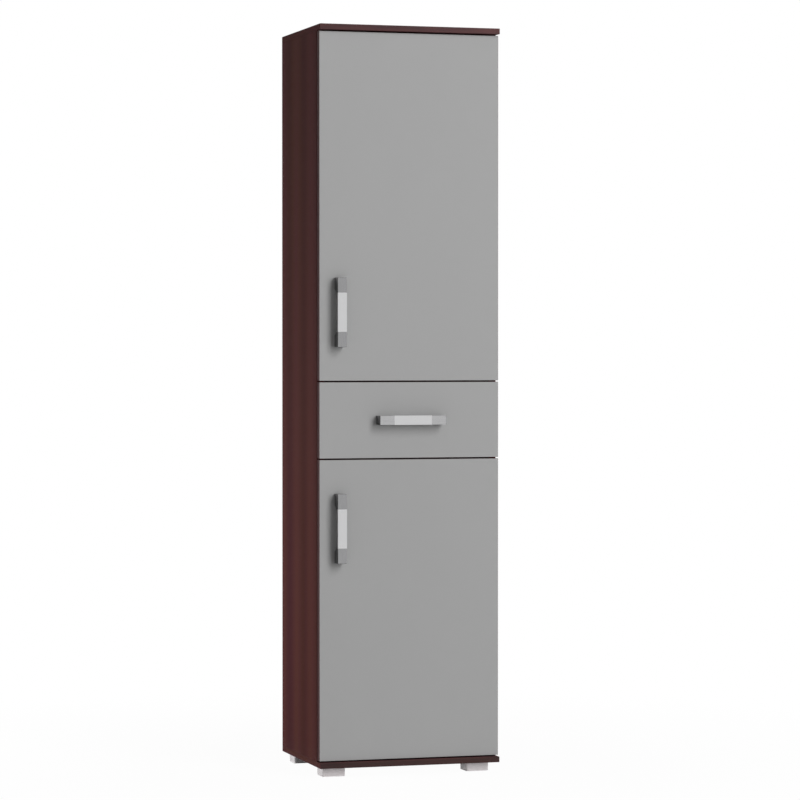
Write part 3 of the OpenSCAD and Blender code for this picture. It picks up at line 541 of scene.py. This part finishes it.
@dataclass(frozen=True)
class PlatedSteel(Finish):
    """Pressed or turned steel with a plated coat: faint mottling and fine handling marks.

    Attributes:
        gloss: Roughness of the coat.
        mottle: Mottling of the coat.
        mottle_tones: Its darkest and lightest tone.
        marks: Fine marks from handling.
        rough: What the mottling and the marks add to the roughness.
        relief: Depth of the mottling, and the strength of its relief.
    """

    gloss: float = 0.28
    mottle: ClassVar[Pattern] = Pattern((240.0, 240.0, 240.0), detail=4.0, span=(0.3, 0.7),
                                        rough=0.6)
    mottle_tones: ClassVar[Span] = (0.88, 1.07)
    marks: ClassVar[Pattern] = Pattern((1500.0, 1500.0, 160.0), detail=2.0, span=(0.62, 0.72))
    rough: ClassVar[Span] = (0.14, 0.10)
    relief: ClassVar[Span] = (0.00001, 0.4)

    def fill(self, graph: Graph) -> None:
        """Builds the shader.

        Args:
            graph: Empty tree to build it in.
        """
        place = graph.place()
        mottle, marks = self.mottle.drawn(graph, place), self.marks.drawn(graph, place)
        shade = graph.mix(mottle, *map(self.tone, self.mottle_tones))
        in_mottle, in_marks = self.rough
        graph.surface(Base_Color=shade, Metallic=1.0,
                      Roughness=self.gloss + in_mottle * mottle + in_marks * marks,
                      Normal=graph.bump(mottle, *self.relief))


@dataclass(frozen=True)
class Moulded(Finish):
    """Moulded plastic or powder coat, with a fine grain in its skin.

    Attributes:
        grain: Grains per metre in the skin.
        relief: Depth of the grain.
        gloss: Roughness of the skin.
        strength: Strength of the grain's relief.
        grain_span: Noise values of the grain's lowest and highest points.
        flow: Faint clouds where the melt or powder ran.
        flow_tones: Their darkest and lightest tone.
        in_grain: What the grain adds to the roughness.
    """

    grain: float = 1500.0
    relief: float = 0.00003
    gloss: float = 0.45
    strength: ClassVar[float] = 0.5
    grain_span: ClassVar[Span] = (0.3, 0.7)
    flow: ClassVar[Pattern] = Pattern((38.0, 38.0, 60.0), detail=2.0, span=(0.3, 0.7))
    flow_tones: ClassVar[Span] = (0.965, 1.03)
    in_grain: ClassVar[float] = 0.10

    def fill(self, graph: Graph) -> None:
        """Builds the shader.

        Args:
            graph: Empty tree to build it in.
        """
        place = graph.place()
        scale = (self.grain, self.grain, self.grain)
        skin = Pattern(scale, detail=3.0, span=self.grain_span, rough=0.6).drawn(graph, place)
        shade = graph.mix(self.flow.drawn(graph, place), *map(self.tone, self.flow_tones))
        graph.surface(Base_Color=shade, Roughness=self.gloss + self.in_grain * skin,
                      Normal=graph.bump(skin, self.relief, self.strength))


# The three colours in the print of the sides: its bands, the wood between them, its lines.
UPRIGHT_TONE: Colour = (0.094, 0.0355, 0.026)
UPRIGHT_DEEP: Colour = (0.087, 0.028, 0.0355)
UPRIGHT_RED: Colour = (0.092, 0.0325, 0.030)
# Bands per metre along the grain of the level boards and their edges.
BOARD_ALONG = 7.0

SIDES = StreakedDecor("wenge_upright", UPRIGHT_TONE, Axis.Z, UPRIGHT_DEEP, UPRIGHT_RED,
                      across=18.0, along=0.5, swell=0.14)
ENDS = StreakedDecor("wenge_end", UPRIGHT_TONE, Axis.Y, UPRIGHT_DEEP, UPRIGHT_RED)
BOARDS = StreakedDecor("wenge_level", (0.108, 0.048, 0.046), Axis.X, (0.066, 0.038, 0.039),
                       (0.118, 0.042, 0.046), along=BOARD_ALONG, trim=((Axis.X, ENDS),))
TOP_EDGE = StreakedDecor("wenge_top_edge", (0.102, 0.049, 0.047), Axis.X,
                         (0.064, 0.039, 0.040), (0.110, 0.044, 0.047), along=BOARD_ALONG,
                         swell=0.13, swell_along=Axis.X, crest=0.2, period=0.8)
TOP = replace(BOARDS, name="wenge_top", trim=((Axis.X, ENDS), (Axis.Y, TOP_EDGE)))
# Painted shade: the fixed shelves' front edges, seen through the gaps between the fronts, are
# printed a near-black grey instead of wenge, for the shade in those gaps.
SHELF_EDGE_SHADE = StreakedDecor("wenge_shelf_edge_shade", (0.044, 0.038, 0.038), Axis.X,
                           (0.030, 0.027, 0.027), (0.050, 0.036, 0.037), along=BOARD_ALONG)
FIXED = replace(BOARDS, name="wenge_fixed", trim=((Axis.X, ENDS), (Axis.Y, SHELF_EDGE_SHADE)))
# Painted shade: the bottom board's front edge is the same decor as the top board's, printed
# darker for the lower light it gets.
BASE_EDGE_SHADE = StreakedDecor("wenge_base_edge_shade", (0.054, 0.034, 0.031), Axis.X,
                          (0.036, 0.0255, 0.025), (0.072, 0.029, 0.030), along=BOARD_ALONG)
BASE = replace(BOARDS, name="wenge_base", trim=((Axis.X, ENDS), (Axis.Y, BASE_EDGE_SHADE)))
# Partly painted shade: the fronts' top and bottom edges are banded like their sides, but
# printed a neutral dark grey-brown for the shade in the gaps between the fronts.
BAND_ENDS_SHADE = StreakedDecor("wenge_band_end_shade", (0.080, 0.067, 0.068), Axis.X,
                          (0.068, 0.060, 0.061), (0.078, 0.062, 0.063), along=BOARD_ALONG)
BAND = StreakedDecor("wenge_band", (0.112, 0.062, 0.063), Axis.Z, (0.098, 0.056, 0.058),
                     (0.108, 0.058, 0.060), along=0.5, trim=((Axis.Z, BAND_ENDS_SHADE),))
FRONTS = PlainDecor("grey_front", (0.330, 0.330, 0.330), BAND)
BACK = Fibreboard("fibreboard", (0.245, 0.130, 0.066))
DRAWER_BOARD = PlainDecor("white_board", (0.72, 0.72, 0.70))
BEECH = BareWood("beech", (0.60, 0.38, 0.18))
# One casting metal in two shades: the drawer's is lighter, a painted highlight, and the door's
# darker, a painted shade, for the sheen that level brushing catches and upright brushing
# misses. Both also darken their end faces as painted shade.
DOOR_CASTING_SHADED = BrushedMetal("satin_casting_upright_shaded", (0.300, 0.300, 0.305), Axis.Z,
                            gloss=0.20, end_shade=0.55)
DRAWER_CASTING_LIT = BrushedMetal("satin_casting_level_lit", (0.432, 0.432, 0.437), Axis.X,
                              gloss=0.20, end_shade=0.55)
DOOR_GRIP = BrushedMetal("aluminium_upright", (0.61, 0.61, 0.615), Axis.Z,
                         gloss=0.34, streak=0.04)
DRAWER_GRIP = BrushedMetal("aluminium_level", (0.61, 0.61, 0.615), Axis.X,
                           gloss=0.34, streak=0.04)
NICKEL = PlatedSteel("nickel_plate", (0.66, 0.65, 0.62), gloss=0.20)
ZINC = PlatedSteel("zinc_plate", (0.60, 0.61, 0.62), gloss=0.30)
RUNNER = Moulded("white_powder_coat", (0.74, 0.74, 0.72), grain=900.0, relief=0.00006,
                 gloss=0.34)
ROLLER = Moulded("white_roller", (0.78, 0.78, 0.75), grain=500.0, relief=0.00002, gloss=0.38)
BUMPER = Moulded("soft_bumper", (0.70, 0.70, 0.68), grain=700.0, relief=0.00002, gloss=0.22)
FOOT = Moulded("pale_foot", (0.86, 0.825, 0.835), grain=1300.0, relief=0.00004, gloss=0.42)


class SubAssembly:
    """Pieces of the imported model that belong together, each with what it is made of."""

    def finishes(self) -> Iterable[tuple[Finish, Names]]:
        """Each finish, with the names of the pieces that get it."""
        raise NotImplementedError

    def build(self) -> None:
        """Gives each piece its finish, and reports it."""
        for finish, names in self.finishes():
            for name in names:
                self._dress(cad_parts[name], finish)
                LOG.info("%s: %s in %s", type(self).__name__, name, finish.name)

    @staticmethod
    def _dress(piece: bpy.types.Object, finish: Finish) -> None:
        """Sets a finish in every material slot of a piece.

        Args:
            piece: The piece's object.
            finish: What it is made of.
        """
        if not piece.material_slots:
            piece.data.materials.append(None)
        for slot in piece.material_slots:
            slot.material = finish.material()


@dataclass
class Carcass(SubAssembly):
    """Sides, boards, shelves, back panel, the fasteners that hold them, and the feet.

    Attributes:
        uprights: The two sides.
        shelves: The loose shelves.
        fixed: The shelves above and below the drawer.
        fasteners: Pins, screws, cams and nails.
        feet: The four feet.
    """

    uprights: Names = ("left_side", "right_side")
    shelves: Names = ("upper_shelf_high", "upper_shelf_low", "lower_shelf")
    fixed: Names = ("upper_fixed_shelf", "lower_fixed_shelf")
    fasteners: Names = ("shelf_pins", "foot_screws", "assembly_screws", "cam_locks",
                        "cam_bolts", "back_nails")
    feet: Names = ("front_left_foot", "front_right_foot", "rear_left_foot", "rear_right_foot")

    def finishes(self) -> Iterable[tuple[Finish, Names]]:
        """Each finish, with the names of the pieces that get it."""
        return ((SIDES, self.uprights), (BOARDS, self.shelves), (FIXED, self.fixed),
                (TOP, ("top_board",)), (BASE, ("bottom_board",)), (BACK, ("back_panel",)),
                (ZINC, self.fasteners), (BEECH, ("dowels",)), (FOOT, self.feet))


class Storey(Enum):
    """Which of the two doors, as the names of its pieces start."""

    UPPER = "upper"
    LOWER = "lower"


@dataclass
class Door(SubAssembly):
    """One hinged door with its handle, cups and bumpers.

    Attributes:
        storey: Which door.
    """

    storey: Storey

    def finishes(self) -> Iterable[tuple[Finish, Names]]:
        """Each finish, with the names of the pieces that get it."""
        door = self.storey.value
        return ((FRONTS, (f"{door}_door_panel",)),
                (NICKEL, (f"{door}_hinge_cups", f"{door}_hinge_pins")),
                (ZINC, (f"{door}_cup_screws", f"{door}_handle_screws")),
                (DOOR_CASTING_SHADED, (f"{door}_handle",)), (DOOR_GRIP, (f"{door}_handle_grip",)),
                (BUMPER, (f"{door}_bumpers",)))


@dataclass
class Hinges(SubAssembly):
    """Arms and plates of the four cup hinges, on the right side.

    Attributes:
        pressed: The plates, and the arms that turn on the doors' pins.
        screws: Screws of the plates, and those that adjust the arms.
    """

    pressed: Names = ("hinge_plates", "hinge_arms")
    screws: Names = ("hinge_plate_screws", "hinge_adjusters")

    def finishes(self) -> Iterable[tuple[Finish, Names]]:
        """Each finish, with the names of the pieces that get it."""
        return (NICKEL, self.pressed), (ZINC, self.screws)


@dataclass
class Drawer(SubAssembly):
    """Drawer box, its front and handle, and its runners.

    Attributes:
        boards: The boards of the box.
        runners: The cabinet's channels and the drawer's rails.
        rollers: The rollers on both.
        screws: All screws of the drawer and its runners.
    """

    boards: Names = ("drawer_inner_front", "drawer_left_side", "drawer_right_side",
                     "drawer_back", "drawer_bottom")
    runners: Names = ("left_channel", "right_channel", "drawer_left_rail",
                      "drawer_right_rail")
    rollers: Names = ("cabinet_rollers", "drawer_rollers")
    screws: Names = ("channel_screws", "drawer_screws", "drawer_front_screws",
                     "rail_screws", "drawer_handle_screws")

    def finishes(self) -> Iterable[tuple[Finish, Names]]:
        """Each finish, with the names of the pieces that get it."""
        return ((FRONTS, ("drawer_front",)), (DRAWER_BOARD, self.boards),
                (RUNNER, self.runners), (ROLLER, self.rollers), (ZINC, self.screws),
                (DRAWER_CASTING_LIT, ("drawer_handle",)), (DRAWER_GRIP, ("drawer_handle_grip",)))


def placed(name: str, data: bpy.types.ID) -> bpy.types.Object:
    """Adds an object to the scene, and reports it.

    Args:
        name: Name of the object.
        data: Its mesh, lamp or camera.

    Returns:
        The object.
    """
    made = bpy.data.objects.new(name, data)
    bpy.context.scene.collection.objects.link(made)
    LOG.info("Studio: %s", name)
    return made


@dataclass(frozen=True)
class Lamp:
    """Soft rectangular lamp that no reflection shows.

    Attributes:
        name: Name of its object.
        power: Power in watts.
        size: Width and height in metres.
        way: Direction from the aim to the lamp.
        distance: Distance from the aim in metres.
    """

    name: str
    power: float
    size: Span
    way: Triple
    distance: float

    def place(self, aim: Triple) -> None:
        """Hangs the lamp.

        Args:
            aim: Point that it looks at.
        """
        lamp = bpy.data.lights.new(self.name, "AREA")
        lamp.shape = "RECTANGLE"
        lamp.size, lamp.size_y = self.size
        lamp.energy = self.power
        holder = placed(self.name, lamp)
        way = Vector(self.way).normalized()
        holder.location = Vector(aim) + way * self.distance
        holder.rotation_mode = "QUATERNION"
        holder.rotation_quaternion = way.to_track_quat("Z", "Y")
        holder.visible_glossy = False


@dataclass
class Studio:
    """Pale floor, soft light and the camera.

    Attributes:
        world_light: Strength of the even light from all round.
        key: Large lamp in front, at the right.
        rim: Low lamp at the left rear, which lights the foot of the side.
        aim: Point that both lamps look at.
        flag_x: Outer and inner edge of the dark card on the floor.
        flag_ends: Front and back end of both dark cards.
        flag_top: Height of the upright card.
        flag_lift: Height of the cards' lowest points above the floor.
        flag_colour: Colour of both cards.
        floor_half: Half the floor's width.
        floor_colour: Colour that the floor throws back as light.
        floor_shade: How white the floor shows at the object, where 1 is white.
        shade_span: Distances from the object where that starts to rise, and where it is 1.
        eye: Place of the camera.
        azimuth: Turn of the camera to the left of the fronts, in degrees.
        tilt: Tilt of the camera down, in degrees.
        lens: Focal length in millimetres.
        sensor: Width of the sensor in millimetres.
        sight: How far the camera sees.
    """

    world_light: float = 0.20
    key: Lamp = Lamp("key_lamp", 712.0, (3.7, 7.4), (0.35, -0.83, 0.35), 9.0)
    rim: Lamp = Lamp("rim_lamp", 10.2, (0.9, 0.2), (-1.0, 0.45, -0.49), 1.7)
    aim: Triple = (0.0, -0.14, 0.80)
    flag_x: Span = (-2.2, -0.23)
    flag_ends: Span = (-2.6, 9.0)
    flag_top: float = 4.0
    flag_lift: float = 0.01
    flag_colour: Colour = (0.02, 0.02, 0.02)
    floor_half: float = 40.0
    floor_colour: Colour = (0.88, 0.88, 0.88)
    floor_shade: float = 0.97
    shade_span: Span = (0.5, 1.6)
    eye: Triple = (-1.9949, -6.7248, 0.9171)
    azimuth: float = 16.6916
    tilt: float = 0.95
    lens: float = 144.9
    sensor: float = 36.0
    sight: float = 200.0

    def _seen(self, graph: Graph) -> Wire:
        """Tells the rays that see the background from those that light the object.

        Args:
            graph: Tree to add the nodes to.

        Returns:
            1 for the camera's rays and for reflected and refracted ones, otherwise 0.
        """
        camera, glossy, clear, depth = (
            graph.node("ShaderNodeLightPath", out=name)
            for name in ("Is Camera Ray", "Is Glossy Ray", "Is Transmission Ray",
                         "Diffuse Depth"))
        return camera.larger(glossy).larger(clear) * (1.0 - (depth > 0.5))

    def sky(self) -> None:
        """Surroundings that show white and light the object evenly."""
        world = bpy.data.worlds.new("studio_world")
        bpy.context.scene.world = world
        world.use_nodes = True
        graph = Graph(world.node_tree)
        light = graph.node("ShaderNodeBackground", inputs={0: WHITE, 1: self.world_light})
        white = graph.node("ShaderNodeBackground", inputs={0: WHITE, 1: 1.0})
        both = graph.node("ShaderNodeMixShader",
                          inputs={0: self._seen(graph), 1: light, 2: white})
        graph.node("ShaderNodeOutputWorld", inputs={"Surface": both})

    def _card(self, name: str, corners: Iterable[Triple]) -> bpy.types.Object:
        """Adds a flat card that isn't part of the object.

        Args:
            name: Name of its object.
            corners: Its four corners, in order round it.

        Returns:
            The card.
        """
        mesh = bpy.data.meshes.new(name)
        mesh.from_pydata(list(corners), [], [(0, 1, 2, 3)])
        card = placed(name, mesh)
        return card

    def floor(self) -> None:
        """Pale floor that shows white and keeps the object's shadow."""
        half = self.floor_half
        card = self._card("floor", ((-half, -half, 0), (half, -half, 0), (half, half, 0),
                                    (-half, half, 0)))
        made = bpy.data.materials.new("pale_floor")
        made.use_nodes = True
        graph = Graph(made.node_tree)
        matt = graph.node("ShaderNodeBsdfDiffuse", inputs={"Color": self.floor_colour})
        white = graph.node("ShaderNodeEmission", inputs={"Color": WHITE, "Strength": 1.0})
        away = graph.node("ShaderNodeVectorMath", {"operation": "LENGTH"}, {0: graph.place()},
                          "Value")
        rise = (1.0 - self.floor_shade) * away.between(*self.shade_span)
        both = graph.node("ShaderNodeMixShader",
                          inputs={0: self._seen(graph) * (self.floor_shade + rise),
                                  1: matt, 2: white})
        graph.node("ShaderNodeOutputMaterial", inputs={"Surface": both})
        card.data.materials.append(made)

    def flag(self) -> None:
        """Dark cards beside the view, which only show in what the left faces reflect."""
        (x, inner), (near, far) = self.flag_x, self.flag_ends
        low, top = self.flag_lift, self.flag_top
        upright = self._card("left_flag", ((x, near, low), (x, far, low), (x, far, top),
                                           (x, near, top)))
        level = self._card("floor_flag", ((x, near, low), (inner, near, low),
                                          (inner, far, low), (x, far, low)))
        made = bpy.data.materials.new("flag_cloth")
        made.use_nodes = True
        graph = Graph(made.node_tree)
        cloth = graph.node("ShaderNodeBsdfDiffuse", inputs={"Color": self.flag_colour})
        graph.node("ShaderNodeOutputMaterial", inputs={"Surface": cloth})
        for card in (upright, level):
            card.data.materials.append(made)
            card.visible_camera = card.visible_diffuse = card.visible_shadow = False

    def camera(self) -> None:
        """Camera to the left of the front, as far off as the photograph's and nearly level."""
        data = bpy.data.cameras.new("camera")
        data.lens = self.lens
        data.sensor_width = self.sensor
        data.clip_end = self.sight
        holder = placed("camera", data)
        holder.location = self.eye
        turn, tilt = math.radians(self.azimuth), math.radians(self.tilt)
        behind = Vector((-math.sin(turn), -math.cos(turn), math.tan(tilt)))
        holder.rotation_mode = "QUATERNION"
        holder.rotation_quaternion = behind.to_track_quat("Z", "Y")
        bpy.context.scene.camera = holder

    def build(self) -> None:
        """Sets the scene's camera, light and floor."""
        self.camera()
        self.sky()
        self.floor()
        self.flag()
        self.key.place(self.aim)
        self.rim.place(self.aim)
        bpy.context.scene.view_settings.view_transform = "Standard"


def main() -> None:
    """Builds the studio and dresses each sub-assembly, in order."""
    logging.basicConfig(level=logging.INFO, format="%(name)s: %(message)s")
    for part in (Studio(), Carcass(), Door(Storey.UPPER), Door(Storey.LOWER), Hinges(),
                 Drawer()):
        part.build()


if __name__ == "__main__":
    main()
